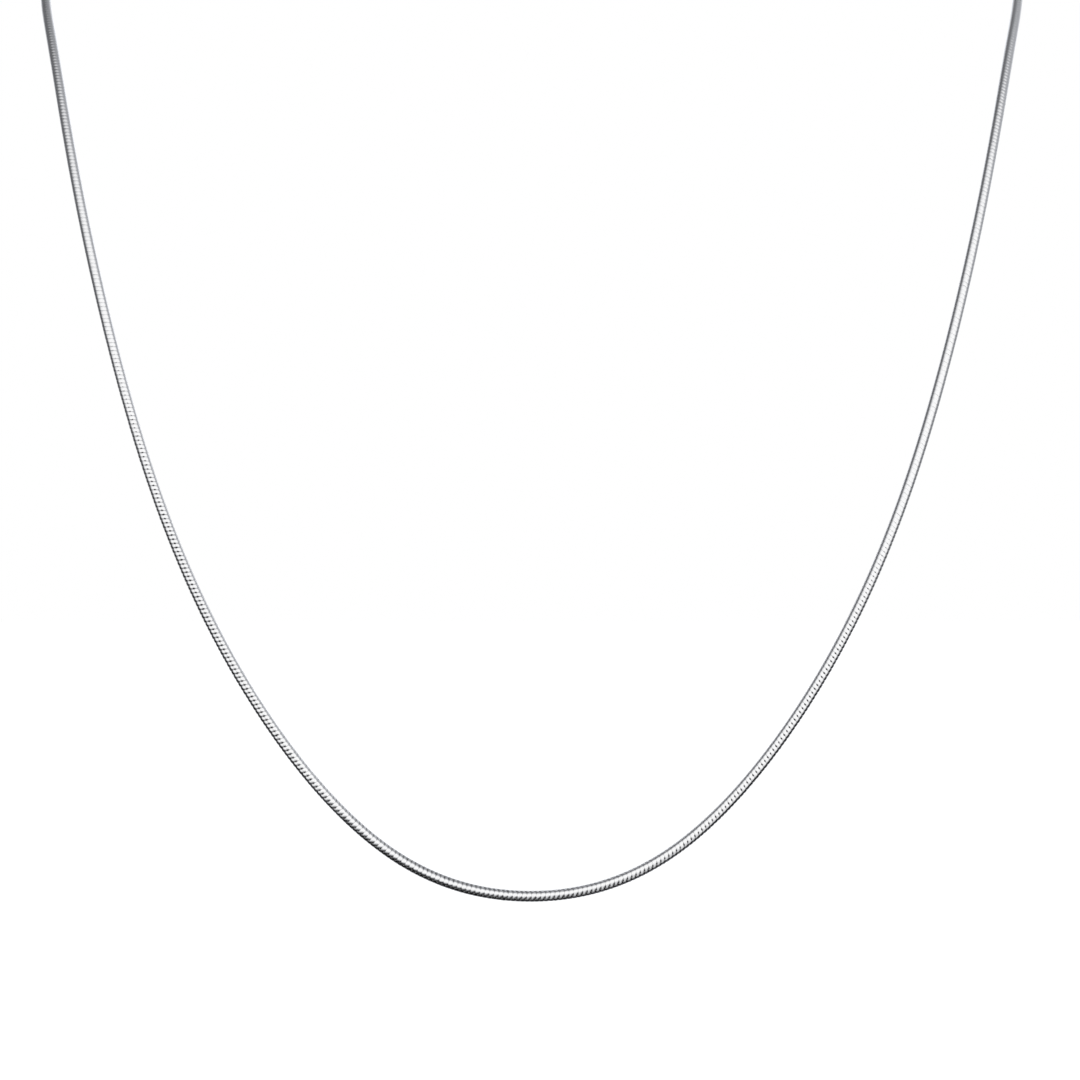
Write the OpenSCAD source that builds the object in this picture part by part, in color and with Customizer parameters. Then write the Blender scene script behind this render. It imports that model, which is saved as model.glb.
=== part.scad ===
// Round snake chain in its worn form: one whole loop, closed at the nape by a barrel clasp.
// The origin is the clasp's centre, +Z is up, and the front of the neck faces -Y.
// The chain's hundreds of tight links are one round tube of their outer diameter.

/* [Chain] */
// Outer diameter of the chain
chain_d = 1.2; // [0.8:0.05:2.4]

/* [Loop] */
// Width of the loop, side to side
loop_width = 118; // [90:1:180]
// How far the lowest point lies in front of the nape
loop_depth = 85; // [60:1:130]
// How far the lowest point lies below the nape
loop_drop = 129; // [80:1:220]

/* [Clasp] */
// Length of the clasp over both collars
clasp_length = 10; // [8:0.5:16]
// Length of the collar at each end
collar_length = 1.5; // [1:0.1:2.5]
// Wall of a collar round its bore
collar_wall = 0.4; // [0.25:0.05:0.8]
// How far the barrel stands proud of its collars
barrel_step = 0.5; // [0.3:0.05:1.2]
// Chamfer on the barrel's ends
barrel_chamfer = 0.3; // [0.1:0.05:0.3]
// Chamfer on the collars' ends
collar_chamfer = 0.15; // [0.05:0.05:0.2]
// Width of the groove where the barrel's halves meet
groove_width = 0.3; // [0.2:0.05:0.6]
// Depth of that groove
groove_depth = 0.15; // [0.1:0.05:0.25]
// Depth of the blind bore in each end
bore_depth = 3.5; // [2:0.25:3.75]

/* [Fits] */
// Gap all round the chain in its bore
bore_clearance = 0.05; // [0.03:0.01:0.1]
// Gap between the chain's end and the floor of its bore
end_clearance = 0.1; // [0.05:0.05:0.5]

/* [Hidden] */

chain_r = chain_d / 2;
bore_r = chain_r + bore_clearance;
collar_r = bore_r + collar_wall;
barrel_r = collar_r + barrel_step;
clasp_half = clasp_length / 2;
barrel_half = clasp_half - collar_length;
chain_end_x = clasp_half - bore_depth + end_clearance;

// How far a bore's cutter stands out of the clasp's end
cutter_overrun = 1;
// Sides of the tube that stands for the chain
tube_sides = 8;
// Rings of that tube along each span of the route
rings_per_span = 4;
// Facets of the turned clasp in a preview
turned_fn = 64;

// The route's points down one side, from beside the nape to the lowest point at the front.
// Each row holds shares of half the loop's width, of its depth and of its drop
ACROSS = 0;
AHEAD = 1;
BELOW = 2;
ROUTE_SHARES = [
    [0.68, 0.08, 0.00],
    [1.06, 0.39, 0.12],
    [0.96, 0.61, 0.24],
    [0.87, 0.78, 0.41],
    [0.71, 0.90, 0.67],
    [0.51, 0.96, 0.85],
    [0.26, 0.99, 0.98],
    [0.00, 1.00, 1.01]
];

// A row's point in the part's own frame, on the side that the sign gives
function route_point(row, sign) = [
    sign * row[ACROSS] * loop_width / 2,
    -row[AHEAD] * loop_depth,
    -row[BELOW] * loop_drop
];

// Points along the clasp's axis that keep the chain straight inside it and for a step outside it
function straight_points(sign) = [
    [-sign * clasp_half, 0, 0],
    [sign * clasp_half, 0, 0],
    [sign * 3 * clasp_half, 0, 0]
];

function backwards(list) = [for (i = [len(list) - 1:-1:0]) list[i]];

side_rows = len(ROUTE_SHARES) - 1;
POINTS = concat(
    straight_points(1),
    [for (row = ROUTE_SHARES) route_point(row, 1)],
    [for (i = [side_rows - 1:-1:0]) route_point(ROUTE_SHARES[i], -1)],
    backwards(straight_points(-1))
);

// The chain's centre line is a uniform cubic B-spline: each point of a span is a
// weighted mean of four neighbouring route points, with u running from 0 to 1
points_in_span = 4;
function span_points(span) = [for (k = [0:points_in_span - 1]) POINTS[span + k]];
function weights(u) = [
    pow(1 - u, 3),
    3 * pow(u, 3) - 6 * pow(u, 2) + 4,
    -3 * pow(u, 3) + 3 * pow(u, 2) + 3 * u + 1,
    pow(u, 3)
] / 6;
function weight_slopes(u) = [
    -pow(1 - u, 2),
    3 * pow(u, 2) - 4 * u,
    -3 * pow(u, 2) + 2 * u + 1,
    pow(u, 2)
] / 2;
function unit(v) = v / norm(v);

// A station is a place on the centre line and the direction of the chain there
function station(span, u) = [
    weights(u) * span_points(span),
    unit(weight_slopes(u) * span_points(span))
];

spans = len(POINTS) - points_in_span + 1;
X_AXIS = [1, 0, 0];
Y_AXIS = [0, 1, 0];
STATIONS = concat(
    [[[chain_end_x, 0, 0], X_AXIS]],
    [for (span = [0:spans - 1]) for (k = [0:rings_per_span - 1]) station(span, k / rings_per_span)],
    [station(spans - 1, 1)],
    [[[-chain_end_x, 0, 0], X_AXIS]]
);

// One ring of the tube, square to the chain
function ring(at, along) =
    let (side = unit(cross(Y_AXIS, along)), up = cross(along, side))
    [for (k = [0:tube_sides - 1])
        let (a = 360 * k / tube_sides)
        at + chain_r * (cos(a) * side + sin(a) * up)];

// Two triangles for each side between a ring and the next
function wall_faces(rings) = [
    for (i = [0:rings - 2]) for (k = [0:tube_sides - 1])
        let (a = i * tube_sides + k)
        let (b = i * tube_sides + (k + 1) % tube_sides)
        each [[a, b + tube_sides, b], [a, a + tube_sides, b + tube_sides]]
];

// Outline of half the clasp, radius against distance from its middle
function half_outline() = [
    [barrel_r - groove_depth, 0],
    [barrel_r, groove_width / 2],
    [barrel_r, barrel_half - barrel_chamfer],
    [barrel_r - barrel_chamfer, barrel_half],
    [collar_r, barrel_half],
    [collar_r, clasp_half - collar_chamfer],
    [collar_r - collar_chamfer, clasp_half],
    [0, clasp_half]
];

// The tube of the whole chain, with both ends inside the clasp
module chain() {
    rings = len(STATIONS);
    last = (rings - 1) * tube_sides;
    first_cap = [for (k = [0:tube_sides - 1]) k];
    last_cap = [for (k = [tube_sides - 1:-1:0]) last + k];
    color("silver")
        polyhedron(
            points = [for (s = STATIONS) each ring(s[0], s[1])],
            faces = concat([first_cap, last_cap], wall_faces(rings)),
            convexity = 6
        );
}

// One blind bore, from its floor out through the end of the clasp
module bore() {
    translate([0, 0, clasp_half - bore_depth])
        cylinder(h = bore_depth + cutter_overrun, r = bore_r, $fn = turned_fn);
}

// Barrel clasp turned about X: a grooved barrel, a collar at each end and two bores
module clasp() {
    half = half_outline();
    other_half = [for (p = backwards(half)) [p[0], -p[1]]];
    color("gainsboro")
        rotate([0, 90, 0])
            difference() {
                rotate_extrude($fn = turned_fn)
                    polygon(concat(half, other_half));
                bore();
                mirror([0, 0, 1])
                    bore();
            }
}

chain();
clasp();
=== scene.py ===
# %% [markdown]
# # A round snake chain
# A snake chain is a row of several hundred small silver rings. Each ring is bent into a
# shallow wave, with two crests and two hollows round its rim, and the next ring nests in
# it so tightly that the whole row reads as one smooth, supple tube. This notebook dresses
# the plain tube of the solid model with those rings, gives them a polished silver finish
# and sets the light that such a picture needs. We start by loading the solid model, and
# keep its size, because nothing that we add may grow past it.

import bpy
import numpy as np
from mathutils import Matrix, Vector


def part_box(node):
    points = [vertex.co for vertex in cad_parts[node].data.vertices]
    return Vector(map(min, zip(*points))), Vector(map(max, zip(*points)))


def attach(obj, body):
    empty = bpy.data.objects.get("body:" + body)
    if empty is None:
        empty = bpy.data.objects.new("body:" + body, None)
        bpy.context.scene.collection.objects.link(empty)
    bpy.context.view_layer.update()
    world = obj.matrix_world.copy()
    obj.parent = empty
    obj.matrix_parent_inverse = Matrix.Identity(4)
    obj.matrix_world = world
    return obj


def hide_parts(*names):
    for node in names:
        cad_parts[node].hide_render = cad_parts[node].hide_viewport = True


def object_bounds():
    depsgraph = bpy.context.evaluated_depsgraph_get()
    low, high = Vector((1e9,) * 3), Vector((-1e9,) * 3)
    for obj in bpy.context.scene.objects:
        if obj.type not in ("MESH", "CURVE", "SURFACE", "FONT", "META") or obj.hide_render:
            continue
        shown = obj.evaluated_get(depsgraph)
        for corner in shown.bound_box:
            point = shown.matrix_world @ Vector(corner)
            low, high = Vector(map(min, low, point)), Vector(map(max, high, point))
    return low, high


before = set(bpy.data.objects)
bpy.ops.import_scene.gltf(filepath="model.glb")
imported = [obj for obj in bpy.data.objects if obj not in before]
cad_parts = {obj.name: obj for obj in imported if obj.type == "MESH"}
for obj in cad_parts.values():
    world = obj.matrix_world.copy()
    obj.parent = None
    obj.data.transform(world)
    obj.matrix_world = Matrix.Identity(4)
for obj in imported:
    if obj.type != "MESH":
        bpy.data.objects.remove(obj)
CAD_BOX = [list(corner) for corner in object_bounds()]
MM = 0.001
print("solid model, low and high corners in mm:", np.round(np.array(CAD_BOX) / MM, 1))

# %% [markdown]
# ## The camera
# The picture looks level at the chain from 300 mm in front of its lowest point, so that
# point lies near the bottom edge and both sides run out of the top edge. A long lens
# from a little way off keeps the loop from looking stretched. The chain hangs a hair to
# the left of the middle, so the camera stands a millimetre to the right of it.

# %% Place the camera
SENSOR_MM = 36.0
LENS_MM = 94.0
CAMERA_MM = (1.0, -384.7, -91.1)
AWAY_MM = 300
CLIP_START_MM = 10


def level_camera(place_mm, lens_mm):
    """A camera at place_mm that looks level along +Y."""
    data = bpy.data.cameras.new("camera")
    data.lens = lens_mm
    data.sensor_width = SENSOR_MM
    data.clip_start = CLIP_START_MM * MM
    camera = bpy.data.objects.new("camera", data)
    camera.location = np.array(place_mm) * MM
    camera.rotation_euler = (np.pi / 2, 0, 0)
    bpy.context.scene.collection.objects.link(camera)
    return camera


bpy.context.scene.camera = level_camera(CAMERA_MM, LENS_MM)
print("the picture is", round(AWAY_MM * SENSOR_MM / LENS_MM), "mm wide at the lowest point")

# %% [markdown]
# ## The line that the chain follows
# A snake chain is springy and never kinks, so its middle is one smooth curve from one end
# of the clasp round the neck to the other. We could draw a Bezier curve by hand, but the
# solid model already states its route as a few points, and a uniform cubic B-spline
# through the same points gives the same curve here. A spline's own parameter runs faster
# where its points lie further apart, so we measure the distance along the curve and look
# places up by that distance instead.

# %% The route's points, as in the solid model
LOOP_WIDTH = 118.0
LOOP_DEPTH = 85.0
LOOP_DROP = 129.0
# Each row: shares of half the width, of the depth and of the drop
ROUTE_SHARES = np.array([
    [0.68, 0.08, 0.00],
    [1.06, 0.39, 0.12],
    [0.96, 0.61, 0.24],
    [0.87, 0.78, 0.41],
    [0.71, 0.90, 0.67],
    [0.51, 0.96, 0.85],
    [0.26, 0.99, 0.98],
    [0.00, 1.00, 1.01],
])
clasp_low, clasp_high = (np.array(corner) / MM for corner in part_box("clasp"))
CLASP_HALF = clasp_high[0]
CHAIN_R = 0.6
CHAIN_END_X = 1.6


def route_points():
    """Rows of shares times the loop's sizes, down the left side and up the right one.

    The points beside the clasp lie on its axis, so the chain leaves it straight.
    """
    left = ROUTE_SHARES * [LOOP_WIDTH / 2, -LOOP_DEPTH, -LOOP_DROP]
    right = left[-2::-1] * [-1, 1, 1]
    straight = np.array([[-1, 0, 0], [1, 0, 0], [3, 0, 0]]) * CLASP_HALF
    return np.vstack([straight, left, right, straight[::-1] * [-1, 1, 1]])


print("route points:", len(route_points()))


# %% Measure the curve
def spline(points, steps):
    """Points of a uniform cubic B-spline.

    Each point is the sum of four neighbouring control points, weighted by the cubics
    (1-u)^3, 3u^3-6u^2+4, -3u^3+3u^2+3u+1 and u^3, all over six.
    """
    u = np.linspace(0, 1, steps, endpoint=False)[:, None]
    weights = [(1 - u) ** 3, 3 * u**3 - 6 * u**2 + 4, -3 * u**3 + 3 * u**2 + 3 * u + 1, u**3]
    spans = len(points) - len(weights) + 1
    neighbours = [points[k:k + spans, None, :] for k in range(len(weights))]
    curve = sum(w[None] * p for w, p in zip(weights, neighbours)) / 6
    return curve.reshape(-1, 3)


STEPS_PER_SPAN = 400
inner_end = np.array([[CHAIN_END_X, 0, 0]])
mouth = np.array([[CLASP_HALF, 0, 0]])
CENTRE = np.vstack([inner_end, spline(route_points(), STEPS_PER_SPAN), mouth * [-1, 1, 1],
                    inner_end * [-1, 1, 1]])
STEP_LENGTHS = np.linalg.norm(np.diff(CENTRE, axis=0), axis=1)
ALONG = np.concatenate([[0], np.cumsum(STEP_LENGTHS)])
CHAIN_LENGTH = ALONG[-1]
print("chain", round(CHAIN_LENGTH, 1), "mm, loop", round(CHAIN_LENGTH + 2 * CHAIN_END_X, 1), "mm")

# %% [markdown]
# A ring needs more than a place: it needs two directions square to the chain, so that it
# can be turned round it. We take one direction as far towards the front as it can go
# while it stays square to the chain, and the other from a cross product. The front one
# always exists here, because the chain never runs straight towards the camera.

# %% Directions along the curve
TANGENT = np.gradient(CENTRE, ALONG, axis=0)
TANGENT /= np.linalg.norm(TANGENT, axis=1)[:, None]
FRONT = np.array([0, -1.0, 0])
TO_FRONT = FRONT - (TANGENT @ FRONT)[:, None] * TANGENT
TO_FRONT /= np.linalg.norm(TO_FRONT, axis=1)[:, None]
SIDEWAYS = np.cross(TANGENT, TO_FRONT)


def look_up(table, distance):
    """Rows of a table of vectors at given distances along the chain, interpolated."""
    return np.stack([np.interp(distance, ALONG, table[:, axis]) for axis in range(3)], axis=-1)


print("tightest bend, mm:", round(1 / np.max(
    np.linalg.norm(np.gradient(TANGENT, ALONG, axis=0), axis=1)), 1))

# %% [markdown]
# ## One ring
# Seen close, each ring is a short silver cup whose rim waves up and down twice in a turn.
# Its outside swells in four rounded scales. Where two scales meet, the ring dips, and
# these dips, darkened further by painted shade, are the dark dots that run along a snake
# chain once in every pitch. We could model one ring by hand and copy it with an array,
# but every ring also has to follow the bend. So we write the ring as a surface of two
# parameters, the place on its wall's section and the angle round the chain, and work out
# every ring at once. The sections stand closer together by the dips than on the crowns,
# so few faces are enough.

# %% Sizes of a ring
RING_PITCH = 0.5
RING_GAP = 0.012
CRESTS = 2
WAVE_HEIGHT = 0.115
GROOVE_DEPTH = 0.013
GROOVE_POWER = 4
DIP_DEPTH = 0.19
DIP_POWER = 2.0
DIP_SHARPNESS = 7
WALL = 0.3
SECTOR_DEGREES = [0, 20, 45, 70]
LENGTH_SHARES = [-1, -0.55, 0.55, 1]
RING_COUNT = int(round(CHAIN_LENGTH / RING_PITCH))
PITCH = CHAIN_LENGTH / RING_COUNT
print(RING_COUNT, "rings of", round(PITCH, 4), "mm")


# %% The ring's surface
def ring_grid(centres, turns, reliefs):
    """Places of all rings' points, ring by section by angle, and how deep each one lies.

    Round the ring, a point's dip share is the size of the cosine of CRESTS times its
    angle, raised to DIP_SHARPNESS: 1 where four scales meet, 0 on their crowns. Across
    the ring's length, the point sinks by its ring's relief, times a depth, times a power
    of its share of the half length. The depth and the power go from the groove's to the
    dip's as the dip share does. All of a section is also shifted along the chain by minus
    the sine of CRESTS times its angle. That is the wave of the rim, and the dips lie
    halfway along its slopes. The section's last point closes it inside the wall.
    """
    sectors = np.arange(2 * CRESTS)[:, None] * 180 / CRESTS + np.array(SECTOR_DEGREES)[None]
    angle = np.radians(sectors.ravel())
    wave = -np.sin(CRESTS * angle)
    dip = np.abs(np.cos(CRESTS * angle)) ** DIP_SHARPNESS
    share = np.array(LENGTH_SHARES + [0])[:, None]
    power = GROOVE_POWER + (DIP_POWER - GROOVE_POWER) * dip
    sunk = (GROOVE_DEPTH + (DIP_DEPTH - GROOVE_DEPTH) * dip) * np.abs(share) ** power
    sunk = reliefs[:, None, None] * sunk
    sunk[:, -1] = WALL
    shift = share * (PITCH - RING_GAP) / 2 + WAVE_HEIGHT * wave
    distance = centres[:, None, None] + shift
    turned = np.radians(turns)[:, None, None] + angle
    front = np.cos(turned)[..., None] * look_up(TO_FRONT, distance)
    side = np.sin(turned)[..., None] * look_up(SIDEWAYS, distance)
    radius = (CHAIN_R - sunk)[..., None]
    points = look_up(CENTRE, distance) + radius * (front + side)
    return points, np.minimum(sunk / DIP_DEPTH, 1)


def grid_faces(grids, rows, columns, wraps=True):
    """Quads of many grids of rows by columns, wrapped round the columns.

    The rows wrap too where the shape is a ring. The order of a quad's corners makes its
    normal point out when rows run along the chain and columns turn to the left of it.
    """
    row = np.arange(rows if wraps else rows - 1)[:, None]
    column = np.arange(columns)[None, :]
    next_row = (row + 1) % rows
    next_column = (column + 1) % columns
    corners = [row * columns + column, row * columns + next_column,
               next_row * columns + next_column, next_row * columns + column]
    quads = np.stack(corners, axis=-1).reshape(-1, 4)
    starts = np.arange(grids)[:, None, None] * rows * columns
    return (starts + quads).reshape(-1, 4)


# %% [markdown]
# A smooth surface would blur the ring's rim into a soft roll, and a flat one would show
# every facet. So the faces are smooth, but edges steeper than 60 degrees stay sharp, and
# on these rings that is the rim alone.

# %% Turn points and faces into an object
SHARP_DEGREES = 60


def mesh_object(name, points_mm, faces, depth=None):
    """A mesh object at the origin, from points in mm, lists of corners and a depth each."""
    mesh = bpy.data.meshes.new(name)
    mesh.from_pydata((points_mm.reshape(-1, 3) * MM).tolist(), [], faces)
    mesh.shade_smooth()
    mesh.set_sharp_from_angle(angle=np.radians(SHARP_DEGREES))
    if depth is not None:
        layer = mesh.attributes.new("depth", "FLOAT", "POINT")
        layer.data.foreach_set("value", np.ascontiguousarray(depth, dtype=np.float32).ravel())
    piece = bpy.data.objects.new(name, mesh)
    bpy.context.scene.collection.objects.link(piece)
    return piece


# %% [markdown]
# ## The whole chain
# A chain that has been worn is never quite even. At the lowest point a row of dips lies a
# little under the middle of the front, and along the sides that row runs in the middle.
# On its way the chain twists a few degrees to and fro, and each ring sits a degree or two
# off its neighbours, so no two scales catch the light alike. The relief, which is how
# deep the dips are, varies too. Low down they are crisp, most of all on the side with
# negative X. They fade on both sides towards the picture's top edge, and are crisp again
# behind the neck. We could paint all that on, but real dips catch the light from every
# side, so two tables turn the rings and set their relief, and the shade painted into the
# dips follows that relief. One mesh for all the rings would be heavy to handle, so the
# chain is cut into five stretches, each a joined mesh of its own.

# %% Tables of turns and reliefs
# Both go by the distance past the lowest point, which is negative where X is positive
TURN_AT_MM = [-230, -24, -10, 0, 10, 20, 28, 40, 230]
TURN_DEGREES = [2, 0, -15, -25, -27, -21, -4, 4, 2]
TWIST_STEP_MM = 9.0
TWIST_DEGREES = 4.0
LOOSENESS_DEGREES = 2.0
RELIEF_AT_MM = [-165, -145, -70, -62, -56, -45, -20, 0, 20, 34, 56, 70, 82, 92, 145, 165]
RELIEFS = [0.9, 0.2, 0.2, 0.4, 0.6, 0.95, 1.0, 1.15, 1.1, 1.35, 1.35, 0.8, 0.5, 0.2, 0.2, 0.9]
SEED = 5
ring_centres = (np.arange(RING_COUNT) + 0.5) * PITCH
past_lowest = ring_centres - CHAIN_LENGTH / 2
chance = np.random.default_rng(SEED)
twist_places = np.arange(0, CHAIN_LENGTH + TWIST_STEP_MM, TWIST_STEP_MM)
twists = chance.normal(0, TWIST_DEGREES, len(twist_places))
ring_turns = (np.interp(past_lowest, TURN_AT_MM, TURN_DEGREES)
              + np.interp(ring_centres, twist_places, twists)
              + chance.normal(0, LOOSENESS_DEGREES, RING_COUNT))
ring_reliefs = np.interp(past_lowest, RELIEF_AT_MM, RELIEFS)
print("turns from", round(ring_turns.min()), "to", round(ring_turns.max()), "degrees")

# %% Make the five stretches
STRETCHES = ["rings_nape_left", "rings_left", "rings_front", "rings_right", "rings_nape_right"]
ring_points, ring_depth = ring_grid(ring_centres, ring_turns, ring_reliefs)
chain_pieces = []
for name, few in zip(STRETCHES, np.array_split(np.arange(RING_COUNT), len(STRETCHES))):
    faces = grid_faces(len(few), *ring_points.shape[1:3])
    piece = mesh_object(name, ring_points[few], faces.tolist(), ring_depth[few])
    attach(piece, "root")
    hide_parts("chain")
    chain_pieces.append(piece)
    print(name, len(few), "rings,", 2 * len(faces), "triangles")

# %% [markdown]
# ## The clasp
# The nape is out of the picture, so this is the plainest clasp that such a chain has: a
# short barrel in two halves, with a collar at each end that the chain is soldered into.
# A lathe makes it in one go, and so do we: we draw half the outline, mirror it, soften
# its corners as polishing does, and turn it round the axis. The outline's third column
# says how deep a corner lies, and so how much shade the finish paints into it.

# %% The clasp's outline
BARREL_R = clasp_high[2]
BARREL_HALF = 3.5
BARREL_CHAMFER = 0.3
JOIN_GROOVE = 0.15
BORE_CLEARANCE = 0.05
BORE_R = CHAIN_R + BORE_CLEARANCE
BORE_FLOOR_X = 1.5
COLLAR_WALL = 0.4
COLLAR_R = BORE_R + COLLAR_WALL
COLLAR_CHAMFER = 0.15
# Lengths over which the painted shade of the collar's step and of the bore's mouth fades
COLLAR_SHADE_FADE = 0.1
MOUTH_SHADE_FADE = 0.2
# Each row: distance from the middle, radius, and how deep the corner lies, which sets its painted
# shade
CLASP_OUTLINE = np.array([
    [0.0, BARREL_R - JOIN_GROOVE, 1.0],
    [JOIN_GROOVE, BARREL_R, 0.0],
    [BARREL_HALF - BARREL_CHAMFER, BARREL_R, 0.0],
    [BARREL_HALF, BARREL_R - BARREL_CHAMFER, 0.0],
    [BARREL_HALF, COLLAR_R, 0.6],
    [BARREL_HALF + COLLAR_SHADE_FADE, COLLAR_R, 0.0],
    [CLASP_HALF - COLLAR_CHAMFER, COLLAR_R, 0.0],
    [CLASP_HALF, COLLAR_R - COLLAR_CHAMFER, 0.0],
    [CLASP_HALF, BORE_R, 0.4],
    [CLASP_HALF - MOUTH_SHADE_FADE, BORE_R, 1.0],
    [BORE_FLOOR_X, BORE_R, 1.0],
])
print("clasp", round(2 * CLASP_HALF, 2), "mm long and", round(2 * BARREL_R, 2), "mm across")


# %% Ways to soften a line and to turn it
EDGE_SHARE = 0.4


def soften(line, radius, steps):
    """A line with each inner corner C replaced by a curve.

    The curve is (1-t)^2 A + 2t(1-t) C + t^2 B. A and B lie on the corner's two edges, at
    the radius from C but never past EDGE_SHARE of the edge.
    """
    corner = line[1:-1]
    t = np.linspace(0, 1, steps)[:, None]
    ends = []
    for neighbour in (line[:-2], line[2:]):
        edge = neighbour - corner
        length = np.linalg.norm(edge[:, :2], axis=1)[:, None]
        ends.append((corner + edge * np.minimum(radius / length, EDGE_SHARE))[:, None])
    curve = (1 - t) ** 2 * ends[0] + 2 * t * (1 - t) * corner[:, None] + t**2 * ends[1]
    return np.vstack([line[:1], curve.reshape(-1, 3), line[-1:]])


def turned_grid(line, sides):
    """A line of places along X and radii, turned round the X axis, row by row."""
    angle = np.linspace(0, 2 * np.pi, sides, endpoint=False)
    x = np.broadcast_to(line[:, :1], (len(line), sides))
    y = -line[:, 1:2] * np.cos(angle)
    z = -line[:, 1:2] * np.sin(angle)
    return np.stack([x, y, z], axis=-1)


# %% Make the clasp
CORNER_R = 0.08
CORNER_STEPS = 4
CLASP_SIDES = 48
mirrored = CLASP_OUTLINE[:0:-1] * [-1, 1, 1]
clasp_line = soften(np.vstack([mirrored, CLASP_OUTLINE]), CORNER_R, CORNER_STEPS)
clasp_points = turned_grid(clasp_line, CLASP_SIDES)
bore_floor = np.arange(CLASP_SIDES)
clasp_faces = grid_faces(1, len(clasp_line), CLASP_SIDES, wraps=False).tolist()
clasp_faces.append(bore_floor[::-1].tolist())
clasp_faces.append((bore_floor + (len(clasp_line) - 1) * CLASP_SIDES).tolist())
clasp_depth = np.broadcast_to(clasp_line[:, 2:], clasp_points.shape[:2])
clasp = mesh_object("barrel_clasp", clasp_points, clasp_faces, clasp_depth)
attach(clasp, "root")
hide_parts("clasp")
print("clasp", len(clasp_faces), "faces")

# %% [markdown]
# ## Shader maths as expressions
# A finish is a handful of formulas. Written as nodes they take a page each, so a small
# class wraps a socket and lets Python's own operators add the Math nodes.

# %% A socket that takes part in sums
class Wire:
    """A number on its way through a node tree."""

    def __init__(self, bench, socket):
        self.bench = bench
        self.socket = socket

    def math(self, operation, *others):
        inputs = dict(enumerate([self, *others]))
        return self.bench.add("ShaderNodeMath", {"operation": operation}, inputs)

    def __add__(self, other):
        return self.math("ADD", other)

    __radd__ = __add__

    def __mul__(self, other):
        return self.math("MULTIPLY", other)

    __rmul__ = __mul__

    def __sub__(self, other):
        return self.math("SUBTRACT", other)

    def __rsub__(self, other):
        return self.math("MULTIPLY", -1.0) + other

    def between(self, low, high):
        """0 below low, 1 above high, and a smooth step from one to the other."""
        settings = {"interpolation_type": "SMOOTHSTEP"}
        inputs = {"Value": self, "From Min": low, "From Max": high}
        return self.bench.add("ShaderNodeMapRange", settings, inputs, "Result")


class Bench:
    """The node tree of one material or world, emptied, and the way to add to it."""

    def __init__(self, owner):
        owner.use_nodes = True
        self.tree = owner.node_tree
        self.tree.nodes.clear()

    def add(self, kind, settings=None, inputs=None, output=0):
        """One node: its settings first, then its sockets, and a wire from its output."""
        node = self.tree.nodes.new(kind)
        for key, value in (settings or {}).items():
            setattr(node, key, value)
        for key, value in (inputs or {}).items():
            if isinstance(value, Wire):
                self.tree.links.new(value.socket, node.inputs[key])
            else:
                node.inputs[key].default_value = value
        return Wire(self, node.outputs[output]) if node.outputs else None


# %% [markdown]
# ## Polished silver
# Silver has hardly any colour of its own. What reads as silver is a sharp, nearly
# colourless reflection. The deep spots where four scales meet are painted near black as
# shade, and turn rougher and less metallic as they darken. The ring meshes carry the
# depth of each point as an attribute, so the finish can follow it.

# %% The silver finish
SILVER = (0.92, 0.92, 0.925, 1.0)
# Near black painted into the deep spots as shade, not a colour of the silver
PAINTED_SHADE_COLOUR = (0.035, 0.033, 0.036, 1.0)
POLISHED_ROUGHNESS = 0.17
SHADED_HOLLOW_ROUGHNESS = 0.55
SHADED_HOLLOW_METAL_LOSS = 1.0
HANDLING_SCALE = 260.0
HANDLING_HAZE = 0.10
GRAIN_SCALE = 5200.0
GRAIN_DETAIL = 3.0
GRAIN_HEIGHT = 0.002 * MM
GRAIN_STRENGTH = 0.35
GRAIN_IN_PAINTED_SHADE = 0.15
PAINTED_SHADE_DEPTHS = (0.3, 0.6)
NOISE_MIDDLE = 0.5
# A Mix node's sockets for colours: the share, the two colours and the result
MIX_SHARE, MIX_A, MIX_B, MIX_RESULT = 0, 6, 7, 2


def silver(name):
    """Principled metal with shade painted near black where the depth attribute is deep; there its
    gloss and metal share drop too.
    """
    material = bpy.data.materials.new(name)
    bench = Bench(material)
    place = bench.add("ShaderNodeTexCoord", output="Object")
    handling = bench.add("ShaderNodeTexNoise", {}, {"Vector": place, "Scale": HANDLING_SCALE})
    grain = bench.add("ShaderNodeTexNoise", {}, {
        "Vector": place, "Scale": GRAIN_SCALE, "Detail": GRAIN_DETAIL})
    depth = bench.add("ShaderNodeAttribute", {"attribute_name": "depth"}, output="Fac")
    # Painted shade: the deeper a point lies, the nearer black it is painted, with grain to break
    # the edge
    painted_shade = (depth + (grain - NOISE_MIDDLE) * GRAIN_IN_PAINTED_SHADE).between(*PAINTED_SHADE_DEPTHS)
    colour = bench.add("ShaderNodeMix", {"data_type": "RGBA"}, {
        MIX_SHARE: painted_shade, MIX_A: SILVER, MIX_B: PAINTED_SHADE_COLOUR}, MIX_RESULT)
    dulling = SHADED_HOLLOW_ROUGHNESS - POLISHED_ROUGHNESS
    haze = (handling - NOISE_MIDDLE) * HANDLING_HAZE
    roughness = POLISHED_ROUGHNESS + haze + painted_shade * dulling
    bump = bench.add("ShaderNodeBump", {}, {
        "Strength": GRAIN_STRENGTH, "Distance": GRAIN_HEIGHT, "Height": grain})
    metal = {"Base Color": colour, "Roughness": roughness, "Normal": bump,
             "Metallic": 1.0 - painted_shade * SHADED_HOLLOW_METAL_LOSS}
    shader = bench.add("ShaderNodeBsdfPrincipled", {}, metal)
    bench.add("ShaderNodeOutputMaterial", {}, {"Surface": shader})
    return material


ring_silver = silver("ring_silver")
for piece in chain_pieces:
    piece.data.materials.append(ring_silver)
clasp_silver = silver("barrel_silver")
clasp.data.materials.append(clasp_silver)
print("finishes:", ring_silver.name, clasp_silver.name)

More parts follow.
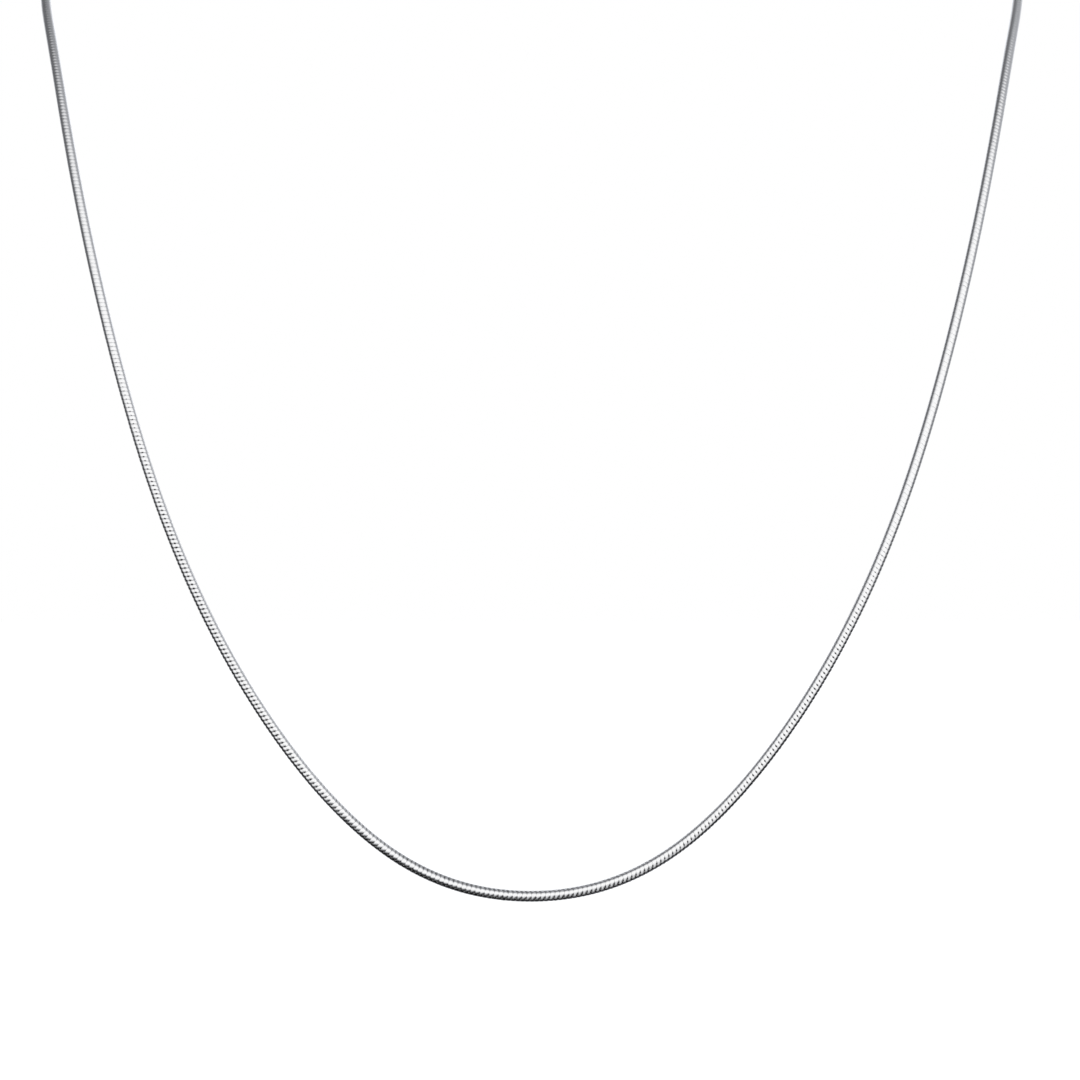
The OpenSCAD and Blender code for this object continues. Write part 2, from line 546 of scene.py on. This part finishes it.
# %% [markdown]
# ## Light
# A polished metal shows its surroundings and nothing else. In the picture the chain's
# front is bleached white, its lower edge is black and its upper edge is grey, so the
# room must be bright in front and above, grey behind, and nearly black below. We could
# hang lamps and cards round the chain, but a world that depends on direction alone does
# this with no lamp at all. Two weak glows from below soften it. One low in front lifts
# the grey over the black edge. The other lies behind, wider to the left and right, and
# keeps the chain's sides from going black when we look from the back. The camera itself
# sees plain white, and the floor stays out of the reflections.

# %% The levels of the room's lights
FRONT_LEVEL = 1.05
LOW_LOSS = 0.3
SHADE_LEVEL = 0.15
SIDE_SHADE_LEVEL = 0.3
GLOW_LEVEL = 0.55
GLOW_LOW_SHARE = 0.4
PANEL_LEVEL = 0.4
LOW_FRONT_LEVEL = 0.14
LOW_BACK_LEVEL = 0.22
COOL_SHADE = (0.93, 0.95, 1.0, 1.0)
WHITE = (1.0, 1.0, 1.0, 1.0)
print("brightest", FRONT_LEVEL, "and weakest", LOW_FRONT_LEVEL)

# %% Directions in the room
world = bpy.data.worlds.new("room")
bpy.context.scene.world = world
room = Bench(world)
direction = room.add("ShaderNodeTexCoord", output="Generated")
split = room.add("ShaderNodeSeparateXYZ", {}, {"Vector": direction})
east, north, up = (Wire(room, socket) for socket in split.socket.node.outputs)
front = north * -1.0
down = up * -1.0
aside = east.math("ABSOLUTE")
print("the room has", len(room.tree.nodes), "nodes so far")

# %% [markdown]
# A direction's three parts each lie between -1 and 1. Every light below starts at one
# value of such a part and is full at another, with a smooth step between them, and a
# product of two steps is a soft patch on the room's walls. The big light in front leans
# a little to the right and upwards, as a window does that stands off to one side.

# %% The lights in front and behind
RIGHT_LEAN = 0.25
UP_LEAN = 0.4
ahead = (front + east * RIGHT_LEAN).between(-0.5, 0.8)
above = (front + up * UP_LEAN).between(0.15, 0.72)
big_light = ahead * above * (1.0 - down.between(0.0, 0.5) * LOW_LOSS)
side_shade = east.between(-0.6, 0.9) * SIDE_SHADE_LEVEL
shade = up.between(-0.5, 0.4) * (SHADE_LEVEL + side_shade)
glow_height = GLOW_LOW_SHARE + up.between(-0.5, 0.3) * (1 - GLOW_LOW_SHARE)
glow = north.between(0.5, 0.85) * glow_height
back_panel = north.between(0.86, 0.95)

# %% The two glows from below
STRIP_REACH = 0.4
low_front = front.between(0.2, 0.75) * down.between(0.4, 0.7) * (1.0 - aside.between(0.35, 0.55))
strips = aside.between(0.15, 0.35) * (1.0 - aside.between(0.5, 0.62))
low_back = down.between(0.3, 0.7) * (north + strips * STRIP_REACH).between(0.3, 0.6)

# %% The room
seen_by_metal = (big_light * FRONT_LEVEL + shade * (1.0 - big_light) + glow * GLOW_LEVEL
                 + back_panel * PANEL_LEVEL + low_back * LOW_BACK_LEVEL
                 + low_front * LOW_FRONT_LEVEL)
camera_ray = room.add("ShaderNodeLightPath", output="Is Camera Ray")
strength = seen_by_metal * (1.0 - camera_ray) + camera_ray
lit_share = big_light.math("MAXIMUM", camera_ray)
tint = room.add("ShaderNodeMix", {"data_type": "RGBA"}, {
    MIX_SHARE: lit_share, MIX_A: COOL_SHADE, MIX_B: WHITE}, MIX_RESULT)
background = room.add("ShaderNodeBackground", {}, {"Color": tint, "Strength": strength})
room.add("ShaderNodeOutputWorld", {}, {"Surface": background})
print("the room has", len(room.tree.nodes), "nodes")

# %% [markdown]
# ## The floor
# A pale, plain floor well below the chain closes the picture. It glows a little, so it
# meets the white of the background without a line.

# %% The floor
FLOOR_DROP = 60.0
FLOOR_REACH = 3000.0
PAINT = (0.85, 0.85, 0.85, 1.0)
PAINT_ROUGHNESS = 0.9
PAINT_GLOW = 0.6
floor_z = CAD_BOX[0][2] / MM - FLOOR_DROP
corner_signs = np.array([[-1, -1], [1, -1], [1, 1], [-1, 1]])
floor_points = np.column_stack([corner_signs * FLOOR_REACH, np.full(4, floor_z)])
floor = mesh_object("floor", floor_points, [[0, 1, 2, 3]])
paint = bpy.data.materials.new("pale_floor")
paint_bench = Bench(paint)
floor_shader = paint_bench.add("ShaderNodeBsdfPrincipled", {}, {
    "Base Color": PAINT, "Roughness": PAINT_ROUGHNESS,
    "Emission Color": WHITE, "Emission Strength": PAINT_GLOW})
paint_bench.add("ShaderNodeOutputMaterial", {}, {"Surface": floor_shader})
floor.data.materials.append(paint)
floor.visible_glossy = False
bpy.context.scene.view_settings.view_transform = "Standard"
print("floor", round(-floor_z), "mm below the clasp")
